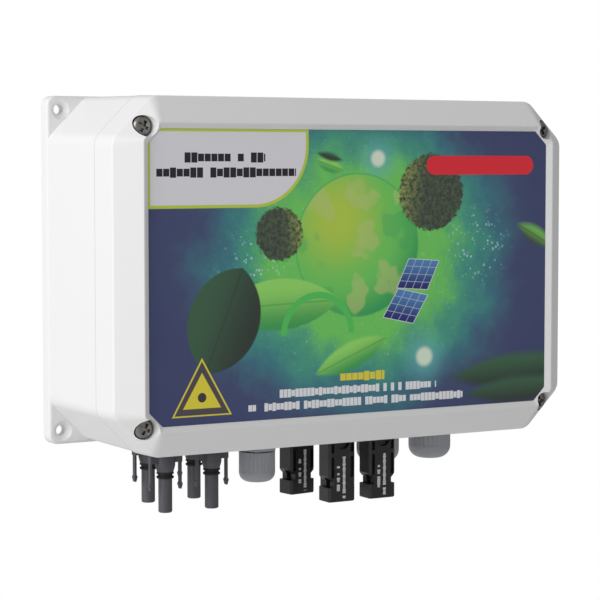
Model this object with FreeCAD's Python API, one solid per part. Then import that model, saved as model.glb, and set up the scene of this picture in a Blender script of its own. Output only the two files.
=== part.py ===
import FreeCAD, Part

import math
import os

V = FreeCAD.Vector

# A wall-mounted DC combiner box, in millimetres.
# Origin: the centre of the back mounting face, midway between the four fixing holes.
# +X is to the right of someone facing the box, the front faces -Y, +Z is up.

# Enclosure outline. An outline is a rectangle with its four corners cut at 45 degrees.
HALF_W = 135.0                 # half the width of flange and cover
HALF_H = 90.0                  # half the height of the cover at the seam
CORNER_CUT = 21.5              # leg of the 45 degree corner cut
CORNER_R = 8.0                 # rounding of the eight vertical edges
STEP_IN = 0.4                  # the case walls stand this far inside the cover's outline
CASE_HALF_W = HALF_W - STEP_IN
CASE_HALF_H = HALF_H - STEP_IN
CASE_LIFT = (1.2, 0.2)         # the sloping top stands this much higher at the wall and the seam
COVER_TAPER = 0.6              # the cover is this much less than HALF_H at the bevel

# Depths, measured from the wall. The front faces -Y, so every depth is used as y = -depth.
FLANGE_DEPTH = 8.0
FLOOR_DEPTH = 4.0
SEAM_DEPTH = 67.0
BEVEL_DEPTH = 87.7
RIDGE_DEPTH = 98.0
LABEL_DEPTH = 96.0
LABEL_THICK = 0.4

# Cover face
RIDGE_HALF = (122.9, 76.2)
RIDGE_CUT = 8.6
RIDGE_FLAT = 0.6
LABEL_HALF = (119.6, 73.2)
LABEL_CUT = 7.2
LABEL_GAP = 0.15
SOFT_EDGE = 1.6

# Shell thickness and the solid corner posts that take the cover screws
WALL = 4.3
CAVITY_HALF = (CASE_HALF_W - WALL, CASE_HALF_H - WALL)
POST_SUM = 179.0               # the cavity stops at x + z = this line in each corner
LAND_DEPTH = 63.0              # from here to the seam the case's corners are solid, under the seal
POST_R = 6.5                   # behind that land only a round post stands in each corner
CAVITY_END_HALF = (118.5, 72.6)
CAVITY_END_CUT = 19.0
CAVITY_BEVEL_DEPTH = 86.5
CAVITY_DEPTH = 92.6

# Wall fixing holes
FIXING_X = 127.5
FIXING_Z = 84.0
FIXING_R = 2.65
FIXING_SINK_R = 5.2
FIXING_SINK_DEPTH = 2.6
FLANGE_HALF_H = 91.0
FLANGE_CORNER_R = 5.0

# Cover screws
SCREW_X = 119.8
SCREW_Z = 74.2
POCKET_R = 5.4
POCKET_FLOOR = 87.4
ORING_THICK = 0.8
ORING_R = 5.2
SCREW_R = 2.5
SCREW_LENGTH = 38.0
SCREW_HEAD_R = 4.8
SCREW_HEAD = 3.2
RECESS = (3.0, 0.6)            # arm length and half width of the cross recess
THREAD_GAP = 0.05

# Cover seal
SEAL_OUT = 1.6                 # from the outline to the seal
SEAL_WIDE = 2.0
SEAL_TALL = 1.8
SEAL_SUM = 184.9               # the seal passes inside the screw posts along x + z = this line

# Bottom wall
BOTTOM = -CASE_HALF_H
BOTTOM_IN = -CAVITY_HALF[1]
WASHER = 1.2                   # rubber ring between a fitting and the wall

# Photovoltaic connectors: (x, y, turn about the vertical in degrees)
SOCKETS = [(-90.5, -54.0, 0), (-84.3, -21.0, 8), (-63.6, -54.0, 0), (-57.1, -21.0, 0)]
PLUGS = [(7.7, -19.0, 8), (13.15, -53.0, 0), (34.0, -19.0, 0), (38.8, -53.0, 0)]
NECK_R = 6.0
NECK_TOP = -74.0
NUT_TALL = 5.0
NUT_FLATS = 17.0
LEAD_R = 2.6
LEAD_GAP = 0.1
LEAD_SEAT = -78.0

SOCKET_TIP = -123.3
SOCKET_PLATE_LOW = -93.4
PROBE_R = 3.6
PROBE_BORE_R = 2.7
PROBE_GROOVE_R = 3.3           # the seal sits in this groove around the probe's root
PROBE_SEAL = (4.5, -102.2, -105.6)
FINGER_X = 8.5
FINGER = (1.1, 2.2)            # thickness and width
ARM_HALF = 1.9                 # half width of the bar that carries both fingers
FINGER_TOP = -97.0
BARB_TOP = -108.0
BARB = 0.6
FINGER_TIP = -111.7
CONTACT_TIP = -121.8

PLUG_TIP = -126.0
PLUG_TOP = -93.0
PLUG_HALF = (8.3, 5.9)
PLUG_CUT = 1.2
PLUG_MOUTH_R = 4.9
PLUG_MOUTH_TOP = -101.0
PIN_R = 2.0
PIN_TIP = -120.5
NOTCH = (2.9, 6.2, 7.8)        # depth, height and height above the tip, on both sides
LATCH_SLOT = (7.2, 2.0)        # half length and half width of the slot for the latch fingers
FACE_SLOT_X = 6.0
FACE_SLOTS = [(-112.8, -101.6), (-99.3, -94.5)]
FACE_SLOT = (0.95, 1.6)        # half width and depth
THUMB_R = 4.6

# Cable glands: (x, y, thread radius, half the width across flats, dome radius, cable bore radius)
GLANDS = [(-30.0, -42.0, 8.0, 9.9, 9.7, 3.5),
          (59.7, -20.4, 10.0, 12.0, 12.0, 5.0),
          (94.7, -20.4, 10.0, 12.0, 12.0, 5.0)]
DOMES = [(-113.5, 5.0), (-112.2, 7.0), (-112.2, 7.0)]    # lower end and its rounding
GLAND_HEX_LOW = -96.5
GLAND_STEM_LOW = -104.0
DOME_TOP = -97.3
DOME_SHELF = -108.0
DOME_FLUTES = 28
FLUTE_R = 0.8
FLUTE_DEPTH = 0.3
GLAND_NECK_TOP = -79.0
LOCKNUT_TALL = 4.5

# Circuit board and what stands on it
BOARD_HALF_W = 100.0
BOARD_Z = (-18.0, 76.0)
BOARD_BACK = 12.0
BOARD_FRONT = 13.6
BOARD_FIXINGS = [(x, z) for x in (-95.5, 95.5) for z in (8.5, 71.0)]
FUSE_X_POS = [-86.0, -68.0, -50.0, -32.0]
FUSE_X_NEG = [-8.0, 10.0, 28.0, 46.0]
FUSE_Z = (17.0, 55.0)
FUSE_CAP_R = 5.15
FUSE_TUBE_R = 4.8
FUSE_CAP = 10.0
CLIP_THICK = 1.0
CLIP_GAP = 0.15
CLIP_WIDE = 8.0
FUSE_DEPTH = BOARD_FRONT + CLIP_THICK + CLIP_GAP + FUSE_CAP_R
TERMINAL_Z = (-14.0, 2.0)
TERMINAL_DEPTH = 30.0
TERMINAL_ENTRY = 22.0
OUTPUT_X = [71.0, 88.0]
BAR_THICK = 1.5
CLIP_TOP = 56.0

os.makedirs("parts", exist_ok=True)


def save(name, shape):
    shape.exportStep("parts/%s.step" % name)


# --- small shape helpers -------------------------------------------------------------------------

def upright(radius, x, y, low, high):
    """Cylinder along Z."""
    return Part.makeCylinder(radius, high - low, V(x, y, low), V(0, 0, 1))


def level(radius, x, z, near, far):
    """Cylinder along Y, from one depth to a greater one."""
    return Part.makeCylinder(radius, far - near, V(x, -near, z), V(0, -1, 0))


def block(x0, x1, near, far, z0, z1):
    return Part.makeBox(x1 - x0, far - near, z1 - z0, V(x0, -far, z0))


def tube(outer, inner):
    return outer.cut(inner)


def hexagon(flats_half, x, y, low, high):
    """Hexagonal prism along Z, with two of its flats facing -Y and +Y."""
    corner = flats_half / math.cos(math.pi / 6)
    points = []
    for i in range(7):
        angle = math.radians(60 * i)
        points.append(V(x + corner * math.cos(angle), y + corner * math.sin(angle), low))
    return Part.Face(Part.makePolygon(points)).extrude(V(0, 0, high - low))


def outline(half, cut, depth, radius, lift=0.0):
    """Closed wire at one depth: a rectangle with 45 degree corners and its eight angles rounded.
    Its top side is raised by lift."""
    a, b = half
    top = b + lift
    corners = [V(a, 0, top - cut), V(a - cut, 0, top), V(cut - a, 0, top), V(-a, 0, top - cut),
               V(-a, 0, cut - b), V(cut - a, 0, -b), V(a - cut, 0, -b), V(a, 0, cut - b)]
    setback = radius * math.tan(math.pi / 8)
    edges = []
    starts, ends, middles = [], [], []
    for i, corner in enumerate(corners):
        back = (corners[i - 1] - corner).normalize()
        ahead = (corners[(i + 1) % 8] - corner).normalize()
        starts.append(corner + back * setback)
        ends.append(corner + ahead * setback)
        inward = (back + ahead).normalize()
        middles.append(corner + inward * (radius / math.cos(math.pi / 8) - radius))
    for i in range(8):
        edges.append(Part.Arc(starts[i], middles[i], ends[i]).toShape())
        edges.append(Part.makeLine(ends[i], starts[(i + 1) % 8]))
    wire = Part.Wire(edges)
    wire.translate(V(0, -depth, 0))
    return wire


def prism(half, cut, near, far, radius):
    return Part.Face(outline(half, cut, near, radius)).extrude(V(0, near - far, 0))


def funnel(near_wire, far_wire):
    """Solid with straight walls between two outlines."""
    return Part.makeLoft([near_wire, far_wire], True, True)


def post_cut(half, line):
    """Corner cut that puts the 45 degree side of an outline on x + z = line."""
    return half[0] + half[1] - line


def corners_of(x, z):
    return [(-x, z), (x, z), (x, -z), (-x, -z)]


def turned(shape, x, y, degrees):
    shape.rotate(V(x, y, 0), V(0, 0, 1), degrees)
    return shape


def spin(points, x, y):
    """Solid of revolution about a vertical axis, from (radius, z) points."""
    ring = [V(x + r, y, z) for r, z in points]
    return Part.Face(Part.makePolygon(ring + ring[:1])).revolve(V(x, y, 0), V(0, 0, 1), 360)


# --- enclosure -----------------------------------------------------------------------------------

def rear_case():
    case_half = (CASE_HALF_W, CASE_HALF_H)
    case_cut = CORNER_CUT - STEP_IN / 2
    body = funnel(outline(case_half, case_cut, 0, CORNER_R, CASE_LIFT[0]),
                  outline(case_half, case_cut, SEAM_DEPTH, CORNER_R, CASE_LIFT[1]))
    flange = block(-HALF_W, HALF_W, 0, FLANGE_DEPTH, -FLANGE_HALF_H, FLANGE_HALF_H)
    flange = flange.makeFillet(FLANGE_CORNER_R, [e for e in flange.Edges if along(e, V(0, 1, 0))])
    front = [e for e in flange.Edges if abs(e.CenterOfMass.y + FLANGE_DEPTH) < 0.01]
    flange = flange.makeFillet(SOFT_EDGE, front)
    body = body.fuse(flange).removeSplitter()
    mouth_cut = post_cut(CAVITY_HALF, POST_SUM)
    mouth = prism(CAVITY_HALF, mouth_cut, LAND_DEPTH, SEAM_DEPTH + 1, CORNER_R)
    deep_cut = case_cut - WALL * (2 - math.sqrt(2))
    deep = prism(CAVITY_HALF, deep_cut, FLOOR_DEPTH, LAND_DEPTH, CORNER_R)
    for x, z in corners_of(SCREW_X, SCREW_Z):
        deep = deep.cut(level(POST_R, x, z, FLOOR_DEPTH - 1, LAND_DEPTH + 1))
    body = body.cut(deep).cut(mouth)
    for x, z in corners_of(FIXING_X, FIXING_Z):
        body = body.cut(level(FIXING_R, x, z, -1, FLANGE_DEPTH + 1))
        sink = Part.makeCone(FIXING_R, FIXING_SINK_R, FIXING_SINK_DEPTH,
                             V(x, FIXING_SINK_DEPTH - FLANGE_DEPTH, z), V(0, -1, 0))
        body = body.cut(sink)
    for x, z in corners_of(SCREW_X, SCREW_Z):
        deep = POCKET_FLOOR + ORING_THICK - SCREW_LENGTH - 4
        body = body.cut(level(SCREW_R + THREAD_GAP, x, z, deep, SEAM_DEPTH + 1))
    for x, y, _ in SOCKETS + PLUGS:
        body = body.cut(upright(NECK_R + THREAD_GAP, x, y, BOTTOM - 1, BOTTOM_IN + 1))
    for x, y, thread, _, _, _ in GLANDS:
        body = body.cut(upright(thread + THREAD_GAP, x, y, BOTTOM - 1, BOTTOM_IN + 1))
    return body


def along(edge, direction):
    """True for a straight edge parallel to the direction."""
    if not isinstance(edge.Curve, Part.Line) and not isinstance(edge.Curve, Part.LineSegment):
        return False
    return abs(abs(edge.tangentAt(edge.FirstParameter).dot(direction)) - 1) < 1e-6


def front_cover():
    half = (HALF_W, HALF_H - COVER_TAPER)
    side = funnel(outline((HALF_W, HALF_H), CORNER_CUT, SEAM_DEPTH, CORNER_R),
                  outline(half, CORNER_CUT, BEVEL_DEPTH, CORNER_R))
    bevel = funnel(outline(half, CORNER_CUT, BEVEL_DEPTH, CORNER_R),
                   outline(RIDGE_HALF, RIDGE_CUT, RIDGE_DEPTH, 2.5))
    cover = side.fuse(bevel)
    rim = [e for e in cover.Edges if abs(e.CenterOfMass.y + BEVEL_DEPTH) < 0.01]
    cover = cover.makeFillet(SOFT_EDGE, rim)
    inner = (RIDGE_HALF[0] - RIDGE_FLAT, RIDGE_HALF[1] - RIDGE_FLAT)
    recess = funnel(outline(inner, RIDGE_CUT - RIDGE_FLAT / 2, RIDGE_DEPTH, 2.0),
                    outline(LABEL_HALF, LABEL_CUT, LABEL_DEPTH, 1.5))
    step = prism(LABEL_HALF, LABEL_CUT, LABEL_DEPTH - LABEL_THICK, LABEL_DEPTH, 1.5)
    cover = cover.cut(recess).cut(step)
    cavity_cut = post_cut(CAVITY_HALF, POST_SUM)
    cover = cover.cut(prism(CAVITY_HALF, cavity_cut, SEAM_DEPTH - 1, CAVITY_BEVEL_DEPTH, CORNER_R))
    cover = cover.cut(funnel(outline(CAVITY_HALF, cavity_cut, CAVITY_BEVEL_DEPTH, CORNER_R),
                             outline(CAVITY_END_HALF, CAVITY_END_CUT, CAVITY_DEPTH, CORNER_R)))
    cover = cover.cut(seal_ring(SEAL_TALL, 0))
    for x, z in corners_of(SCREW_X, SCREW_Z):
        cover = cover.cut(level(POCKET_R, x, z, POCKET_FLOOR, RIDGE_DEPTH + 1))
        cover = cover.cut(level(SCREW_R + 0.2, x, z, SEAM_DEPTH - 1, POCKET_FLOOR + 1))
    return cover


def seal_ring(tall, gap):
    """Ring of rectangular section just inside the outline, starting at the seam."""
    outer = (HALF_W - SEAL_OUT - gap, HALF_H - SEAL_OUT - gap)
    inner = (HALF_W - SEAL_OUT - SEAL_WIDE + gap, HALF_H - SEAL_OUT - SEAL_WIDE + gap)
    inner_sum = SEAL_SUM - SEAL_WIDE * math.sqrt(2)
    ring = prism(outer, post_cut(outer, SEAL_SUM - gap), SEAM_DEPTH, SEAM_DEPTH + tall, CORNER_R)
    hole = prism(inner, post_cut(inner, inner_sum + gap), SEAM_DEPTH, SEAM_DEPTH + tall,
                 CORNER_R - SEAL_WIDE)
    return ring.cut(hole)


def front_label():
    half = (LABEL_HALF[0] - LABEL_GAP, LABEL_HALF[1] - LABEL_GAP)
    return prism(half, LABEL_CUT, LABEL_DEPTH - LABEL_THICK, LABEL_DEPTH, 1.5)


def cover_screw(x, z):
    """Pan head screw with a cross recess. Its thread is a plain shank."""
    under = POCKET_FLOOR + ORING_THICK
    head = level(SCREW_HEAD_R, x, z, under, under + SCREW_HEAD)
    rim = [e for e in head.Edges if abs(e.CenterOfMass.y + under + SCREW_HEAD) < 0.01
           and len(e.Vertexes) == 1 and e.Length > 1]
    head = head.makeFillet(SCREW_HEAD * 0.6, rim)
    top = under + SCREW_HEAD
    reach, half = RECESS
    head = head.cut(block(x - reach, x + reach, top - 1.9, top + 1, z - half, z + half))
    head = head.cut(block(x - half, x + half, top - 1.9, top + 1, z - reach, z + reach))
    return head.fuse(level(SCREW_R, x, z, under - SCREW_LENGTH, under))


def screw_oring(x, z):
    ring = level(ORING_R, x, z, POCKET_FLOOR, POCKET_FLOOR + ORING_THICK)
    return ring.cut(level(SCREW_R + THREAD_GAP, x, z, POCKET_FLOOR, POCKET_FLOOR + ORING_THICK))


# --- photovoltaic connectors ---------------------------------------------------------------------

def connector_root(x, y, collar_r, collar_low):
    """Collar outside the wall and threaded neck through it, with the lead's seat."""
    collar = upright(collar_r, x, y, collar_low, BOTTOM - WASHER)
    neck = upright(NECK_R, x, y, BOTTOM - WASHER, NECK_TOP)
    seat = upright(LEAD_R + LEAD_GAP, x, y, LEAD_SEAT, NECK_TOP + 1)
    return collar.fuse(neck).cut(seat)


def finger(x, y, side):
    """Latch finger, thickened to both sides near its tip. side is -1 or +1."""
    thick, wide = FINGER
    inner = FINGER_X - thick / 2
    outer = FINGER_X + thick / 2
    profile = [(inner, FINGER_TOP), (outer, FINGER_TOP), (outer, BARB_TOP),
               (outer + BARB, BARB_TOP - 1), (outer - 0.2, FINGER_TIP),
               (inner + 0.2, FINGER_TIP), (inner - BARB, BARB_TOP - 1), (inner, BARB_TOP)]
    points = [V(x + side * px, y - wide / 2, pz) for px, pz in profile]
    return Part.Face(Part.makePolygon(points + points[:1])).extrude(V(0, wide, 0))


def socket_connector(x, y, turn):
    """Connector with a slim probe and two latch fingers, pointing down."""
    root = connector_root(x, y, 9.4, SOCKET_PLATE_LOW)
    half = FINGER_X + FINGER[0] / 2
    arms = block(x - half, x + half, -y - ARM_HALF, -y + ARM_HALF,
                 FINGER_TOP - 0.5, SOCKET_PLATE_LOW)
    barrel = upright(5.2, x, y, -99.0, SOCKET_PLATE_LOW)
    shoulder = Part.makeCone(4.3, 5.2, 3.2, V(x, y, PROBE_SEAL[1]), V(0, 0, 1))
    probe = upright(PROBE_R, x, y, SOCKET_TIP, FINGER_TOP)
    tip = [e for e in probe.Edges if abs(e.CenterOfMass.z - SOCKET_TIP) < 0.01 and e.Length > 1]
    probe = probe.makeChamfer(0.5, tip)
    body = root.fuse([arms, barrel, shoulder, probe, finger(x, y, -1), finger(x, y, 1)])
    _, groove_top, groove_low = PROBE_SEAL
    body = body.cut(tube(upright(PROBE_R + 1, x, y, groove_low, groove_top),
                         upright(PROBE_GROOVE_R, x, y, groove_low, groove_top)))
    body = body.cut(upright(PROBE_BORE_R, x, y, SOCKET_TIP - 1, -99.0))
    return turned(body, x, y, turn)


def socket_contact(x, y):
    """Slotted metal sleeve inside the probe."""
    sleeve = tube(upright(PROBE_BORE_R - 0.05, x, y, CONTACT_TIP, -99.0),
                  upright(PIN_R + 0.05, x, y, CONTACT_TIP - 1, -103.0))
    slot = block(x - 0.3, x + 0.3, -y - 5, -y + 5, CONTACT_TIP - 1, -108.0)
    return sleeve.cut(slot)


def probe_seal(x, y):
    """Double lip seal around the root of the probe."""
    outer, top, low = PROBE_SEAL
    inner, waist, lip = PROBE_GROOVE_R + 0.02, outer - 0.7, 1.0
    points = [(inner, top), (outer - 0.2, top), (outer, top - 0.4), (outer, top - lip),
              (waist, top - lip - 0.2), (waist, low + lip + 0.2), (outer, low + lip),
              (outer, low + 0.4), (outer - 0.2, low), (inner, low)]
    return spin(points, x, y)


def plug_section(x, y, half, cut, low, high):
    a, b = half
    ring = [(a, cut - b), (a, b - cut), (a - cut, b), (cut - a, b), (-a, b - cut), (-a, cut - b),
            (cut - a, -b), (a - cut, -b)]
    points = [V(x + px, y + py, low) for px, py in ring]
    return Part.Face(Part.makePolygon(points + points[:1])).extrude(V(0, 0, high - low))


def plug_connector(x, y, turn):
    """Connector with a hollow shell, two latch windows and a pin inside, pointing down."""
    root = connector_root(x, y, 9.0, PLUG_TOP)
    shell = plug_section(x, y, PLUG_HALF, PLUG_CUT, PLUG_TIP, PLUG_TOP)
    lip = [e for e in shell.Edges if abs(e.CenterOfMass.z - PLUG_TIP) < 0.01]
    shell = shell.makeFillet(0.8, lip)
    latch_x, latch_y = LATCH_SLOT
    cuts = [upright(PLUG_MOUTH_R, x, y, PLUG_TIP - 1, PLUG_MOUTH_TOP),
            block(x - latch_x, x + latch_x, -y - latch_y, -y + latch_y, PLUG_TIP - 1, PLUG_MOUTH_TOP)]
    for side in (-1, 1):
        cuts.append(plug_notch(x, y, side))
        for face in (-1, 1):
            cuts += [face_slot(x + side * FACE_SLOT_X, y, face, z0, z1) for z0, z1 in FACE_SLOTS]
    for face in (-1, 1):
        centre = V(x, y + face * (PLUG_HALF[1] - FACE_SLOT[1]), PLUG_TOP)
        cuts.append(Part.makeCylinder(THUMB_R, FACE_SLOT[1] + 1, centre, V(0, face, 0)))
    return turned(root.fuse(shell).cut(cuts), x, y, turn)


def plug_notch(x, y, side):
    """Latch notch across one side of the shell: square below, sloping above."""
    depth, tall, above = NOTCH
    low = PLUG_TIP + above
    outer = PLUG_HALF[0]
    profile = [(outer + 1, low), (outer - depth, low), (outer - depth, low + tall - depth),
               (outer, low + tall), (outer + 1, low + tall)]
    points = [V(x + side * px, y - PLUG_HALF[1] - 1, pz) for px, pz in profile]
    return Part.Face(Part.makePolygon(points + points[:1])).extrude(V(0, 2 * PLUG_HALF[1] + 2, 0))


def face_slot(x, y, face, low, high):
    """Long slot in the front (-1) or back (+1) face of a shell."""
    half, deep = FACE_SLOT
    y0, y1 = sorted([y + face * (PLUG_HALF[1] - deep), y + face * (PLUG_HALF[1] + 1)])
    return Part.makeBox(2 * half, y1 - y0, high - low, V(x - half, y0, low))


def pin_contact(x, y):
    pin = upright(PIN_R, x, y, PIN_TIP, PLUG_MOUTH_TOP)
    tip = [e for e in pin.Edges if abs(e.CenterOfMass.z - PIN_TIP) < 0.01 and e.Length > 1]
    return pin.makeFillet(1.2, tip)


def ring_washer(x, y, outer, inner):
    return tube(upright(outer, x, y, BOTTOM - WASHER, BOTTOM),
                upright(inner, x, y, BOTTOM - WASHER, BOTTOM))


def inner_nut(x, y, flats_half, bore, tall):
    nut = hexagon(flats_half, x, y, BOTTOM_IN, BOTTOM_IN + tall)
    return nut.cut(upright(bore, x, y, BOTTOM_IN - 1, BOTTOM_IN + tall + 1))


# --- cable glands --------------------------------------------------------------------------------

def gland_body(x, y, thread, flats_half, dome_r, cable_r):
    stem_r = dome_r - 2.6
    top = BOTTOM - WASHER
    body = hexagon(flats_half, x, y, GLAND_HEX_LOW, top)
    body = body.fuse(upright(thread, x, y, top, GLAND_NECK_TOP))
    body = body.fuse(upright(stem_r, x, y, GLAND_STEM_LOW, GLAND_HEX_LOW))
    body = body.cut(upright(cable_r + 1.0, x, y, GLAND_STEM_LOW - 1, GLAND_NECK_TOP + 1))
    return body.cut(upright(stem_r - 1.2, x, y, GLAND_STEM_LOW - 1, GLAND_HEX_LOW - 1.5))


def gland_dome(gland, low, rounding):
    """Fluted nut with a rounded lower end."""
    x, y, _, _, dome_r, cable_r = gland
    dome = upright(dome_r, x, y, low, DOME_TOP)
    rim = [e for e in dome.Edges if abs(e.CenterOfMass.z - low) < 0.01 and e.Length > 1]
    dome = dome.makeFillet(rounding, rim)
    dome = dome.cut(upright(dome_r - 2.6 + THREAD_GAP, x, y, DOME_SHELF, DOME_TOP + 1))
    dome = dome.cut(upright(cable_r + 1.2, x, y, low - 1, DOME_SHELF + 1))
    flutes = []
    far = dome_r + FLUTE_R - FLUTE_DEPTH
    for i in range(DOME_FLUTES):
        angle = 2 * math.pi * i / DOME_FLUTES
        flutes.append(upright(FLUTE_R, x + far * math.cos(angle), y + far * math.sin(angle),
                              low + rounding + 0.5, DOME_TOP + 1))
    return dome.cut(flutes)


def gland_seal(x, y, thread, flats_half, dome_r, cable_r):
    outer = dome_r - 2.6 - 1.2 - 0.1
    low = DOME_SHELF + 0.05
    return tube(upright(outer, x, y, low, GLAND_HEX_LOW - 2.0),
                upright(cable_r, x, y, low - 1, GLAND_HEX_LOW))


# --- circuit board -------------------------------------------------------------------------------

def circuit_board():
    board = block(-BOARD_HALF_W, BOARD_HALF_W, BOARD_BACK, BOARD_FRONT, *BOARD_Z)
    for x, z in BOARD_FIXINGS:
        board = board.cut(level(2.2, x, z, BOARD_BACK - 1, BOARD_FRONT + 1))
    return board


def board_spacer(x, z):
    return level(3.5, x, z, FLOOR_DEPTH, BOARD_BACK).cut(level(2.05, x, z, 6, BOARD_BACK + 1))


def board_screw(x, z):
    screw = level(3.3, x, z, BOARD_FRONT, BOARD_FRONT + 2.2)
    screw = screw.cut(block(x - 2.0, x + 2.0, BOARD_FRONT + 1.2, BOARD_FRONT + 3, z - 0.4, z + 0.4))
    return screw.fuse(level(2.0, x, z, 7, BOARD_FRONT))


def string_fuse(x):
    """Cylindrical fuse, a ceramic tube between two metal caps."""
    low, high = FUSE_Z
    y = -FUSE_DEPTH
    barrel = upright(FUSE_TUBE_R, x, y, low + FUSE_CAP, high - FUSE_CAP)
    caps = [upright(FUSE_CAP_R, x, y, low, low + FUSE_CAP),
            upright(FUSE_CAP_R, x, y, high - FUSE_CAP, high)]
    return Part.makeCompound([barrel] + caps)


def fuse_clip(x, base_low, base_high, arm_low):
    """U-shaped spring clip. The fuse cap lies between its two straight arms."""
    reach = FUSE_CAP_R + CLIP_GAP
    base_far = BOARD_FRONT + CLIP_THICK
    clip = block(x - reach, x + reach, BOARD_FRONT, base_far, base_low, base_high)
    for side in (-1, 1):
        x0 = min(side * reach, side * (reach + CLIP_THICK)) + x
        clip = clip.fuse(block(x0, x0 + CLIP_THICK, BOARD_FRONT, FUSE_DEPTH + 4.5,
                               arm_low, arm_low + CLIP_WIDE))
    return clip


def terminal_block(xs, entry_r, half_width):
    """Row of screw terminals with wire entries below and screw wells in front."""
    low, high = TERMINAL_Z
    body = block(xs[0] - half_width, xs[-1] + half_width, BOARD_FRONT, TERMINAL_DEPTH, low, high)
    front = [e for e in body.Edges if abs(e.CenterOfMass.y + TERMINAL_DEPTH) < 0.01]
    body = body.makeChamfer(1.0, front)
    for x in xs:
        body = body.cut(upright(entry_r, x, -TERMINAL_ENTRY, low - 1, low + 6))
        body = body.cut(level(3.0, x, (low + high) / 2 + 3, TERMINAL_DEPTH - 4, TERMINAL_DEPTH + 1))
    return body


def terminal_screw(x, z, floor):
    screw = level(2.8, x, z, floor, floor + 2.4)
    return screw.cut(block(x - 2.9, x + 2.9, floor + 1.4, floor + 3, z - 0.45, z + 0.45))


def earth_terminal():
    body = block(-24, -8, FLOOR_DEPTH, 15, -62, -51)
    for x in (-20, -12):
        body = body.cut(upright(2.4, x, -9.5, -63, -50))
    return body


def varistor(z):
    """Disc-shaped surge arrester, standing on the board."""
    disc = Part.makeCylinder(7.0, 4.2, V(76.9, -BOARD_FRONT - 7.5, z), V(1, 0, 0))
    disc = disc.makeFillet(1.2, [e for e in disc.Edges if e.Length > 20 and len(e.Vertexes) == 1])
    legs = [upright_leg(79.0, z - 2.5), upright_leg(79.0, z + 2.5)]
    return disc.fuse(legs)


def upright_leg(x, z):
    return level(0.5, x, z, BOARD_FRONT, BOARD_FRONT + 3.0)


def bar(x0, x1, z0, z1):
    return block(x0, x1, BOARD_FRONT, BOARD_FRONT + BAR_THICK, z0, z1)


def busbar_positive():
    parts = [bar(84, 91, TERMINAL_Z[1], 66)]
    for x in FUSE_X_POS:
        parts.append(bar(x - 4, x + 4, CLIP_TOP, 66))
    return bar(-90, 91, 66, 73).fuse(parts).removeSplitter()


def busbar_negative():
    return bar(-12, 74, CLIP_TOP, 62).fuse(bar(67, 74, TERMINAL_Z[1], CLIP_TOP)).removeSplitter()


# --- leads inside the case -----------------------------------------------------------------------

def lead(start_x, start_y, end_x):
    """Insulated lead from a connector's neck up to its terminal: straight runs joined by arcs."""
    end_y = -TERMINAL_ENTRY
    end_z = TERMINAL_Z[0] + 6
    route = [(LEAD_SEAT, 0.0), (-67.0, 0.0), (-54.0, 0.2), (-33.0, 0.8), (-20.0, 1.0), (end_z, 1.0)]
    points = []
    for z, share in route:
        points.append(V(start_x + (end_x - start_x) * share, start_y + (end_y - start_y) * share, z))
    edges, here = [], points[0]
    for before, corner, after in zip(points, points[1:], points[2:]):
        back, ahead = before - corner, after - corner
        setback = 0.45 * min(back.Length, ahead.Length)
        back.normalize()
        ahead.normalize()
        half_turn = (math.pi - back.getAngle(ahead)) / 2
        radius = setback / math.tan(half_turn)
        begin, end = corner + back * setback, corner + ahead * setback
        inward = (back + ahead).normalize()
        middle = corner + inward * (radius / math.cos(half_turn) - radius)
        edges.append(Part.makeLine(here, begin))
        edges.append(Part.Arc(begin, middle, end).toShape())
        here = end
    edges.append(Part.makeLine(here, points[-1]))
    path = Part.Wire(edges)
    section = Part.Wire(Part.makeCircle(LEAD_R, points[0], V(0, 0, 1)))
    return path.makePipeShell([section], True, True)


# --- write every sub-part ------------------------------------------------------------------------

save("rear_case", rear_case())
save("front_cover", front_cover())
save("cover_gasket", seal_ring(SEAL_TALL, 0.05))
save("front_label", front_label())

for i, (x, z) in enumerate(corners_of(SCREW_X, SCREW_Z), 1):
    save("cover_screw_%d" % i, cover_screw(x, z))
    save("screw_oring_%d" % i, screw_oring(x, z))

for i, (x, y, turn) in enumerate(SOCKETS, 1):
    save("socket_connector_%d" % i, socket_connector(x, y, turn))
for i, (x, y, turn) in enumerate(PLUGS, 1):
    save("plug_connector_%d" % i, plug_connector(x, y, turn))

places = [(x, y) for x, y, _ in SOCKETS + PLUGS]
save("socket_contacts", Part.makeCompound([socket_contact(x, y) for x, y, _ in SOCKETS]))
save("probe_seals", Part.makeCompound([probe_seal(x, y) for x, y, _ in SOCKETS]))
save("pin_contacts", Part.makeCompound([pin_contact(x, y) for x, y, _ in PLUGS]))
save("connector_seals", Part.makeCompound(
    [ring_washer(x, y, 8.4, NECK_R + 0.1) for x, y in places]))
save("connector_nuts", Part.makeCompound(
    [inner_nut(x, y, NUT_FLATS / 2, NECK_R + THREAD_GAP, NUT_TALL) for x, y in places]))

for i, gland in enumerate(GLANDS, 1):
    save("gland_body_%d" % i, gland_body(*gland))
    save("gland_dome_%d" % i, gland_dome(gland, *DOMES[i - 1]))
    save("gland_seal_%d" % i, gland_seal(*gland))
save("gland_washers", Part.makeCompound(
    [ring_washer(g[0], g[1], g[3], g[2] + 0.1) for g in GLANDS]))
locknuts = [inner_nut(g[0], g[1], g[3], g[2] + THREAD_GAP, LOCKNUT_TALL) for g in GLANDS]
save("gland_locknuts", Part.makeCompound(
    [turned(nut, g[0], g[1], 30) for nut, g in zip(locknuts, GLANDS)]))

save("circuit_board", circuit_board())
save("board_spacers", Part.makeCompound([board_spacer(x, z) for x, z in BOARD_FIXINGS]))
save("board_screws", Part.makeCompound([board_screw(x, z) for x, z in BOARD_FIXINGS]))

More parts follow.
